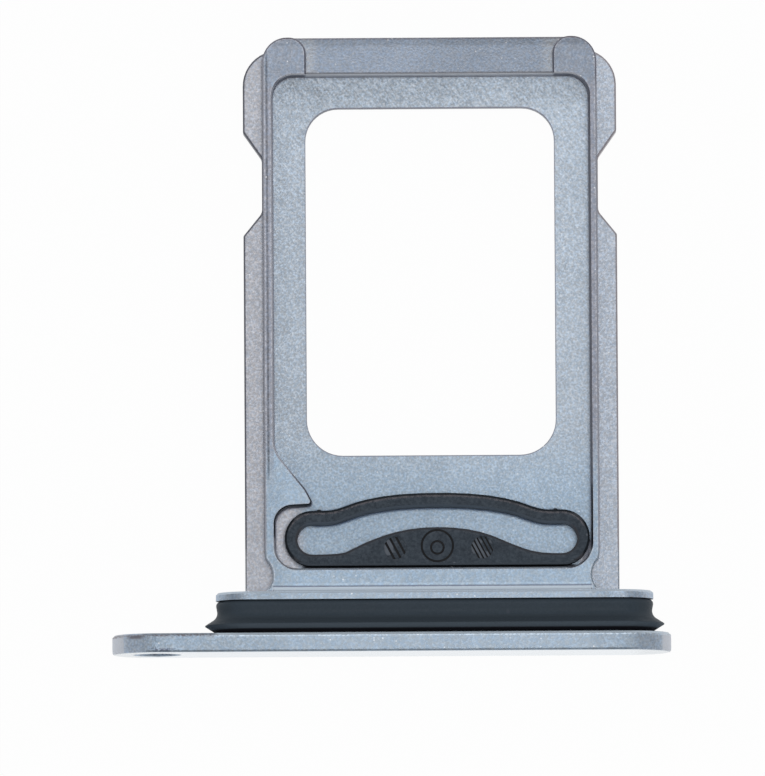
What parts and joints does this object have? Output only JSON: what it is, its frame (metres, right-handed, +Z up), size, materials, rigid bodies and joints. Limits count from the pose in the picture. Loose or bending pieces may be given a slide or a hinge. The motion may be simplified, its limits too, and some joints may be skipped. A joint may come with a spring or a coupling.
{
  "type": "sim card tray",
  "caption": "Metal card tray with back-to-back nano card pockets, plastic spring clips, notched guide rails, a rubber seal ring and a front plate pierced for a release pin.",
  "frame": {"origin": "centre of the front plate's outer face", "axes": "+Y is the way the tray slides into its device, +Z is up through the tray's thickness on the side shown, and +X is to the right seen from the front"},
  "size_m": [0.016, 0.0176, 0.0026],
  "materials": {
    "tray_metal": "satin",
    "clip_plastic": "matte",
    "seal_rubber": "matte"
  },
  "bodies": {
    "root": {"tray_body": "tray_metal", "card_clip_upper": "clip_plastic", "card_clip_lower": "clip_plastic", "seal_ring": "seal_rubber"}
  },
  "joints": []
}
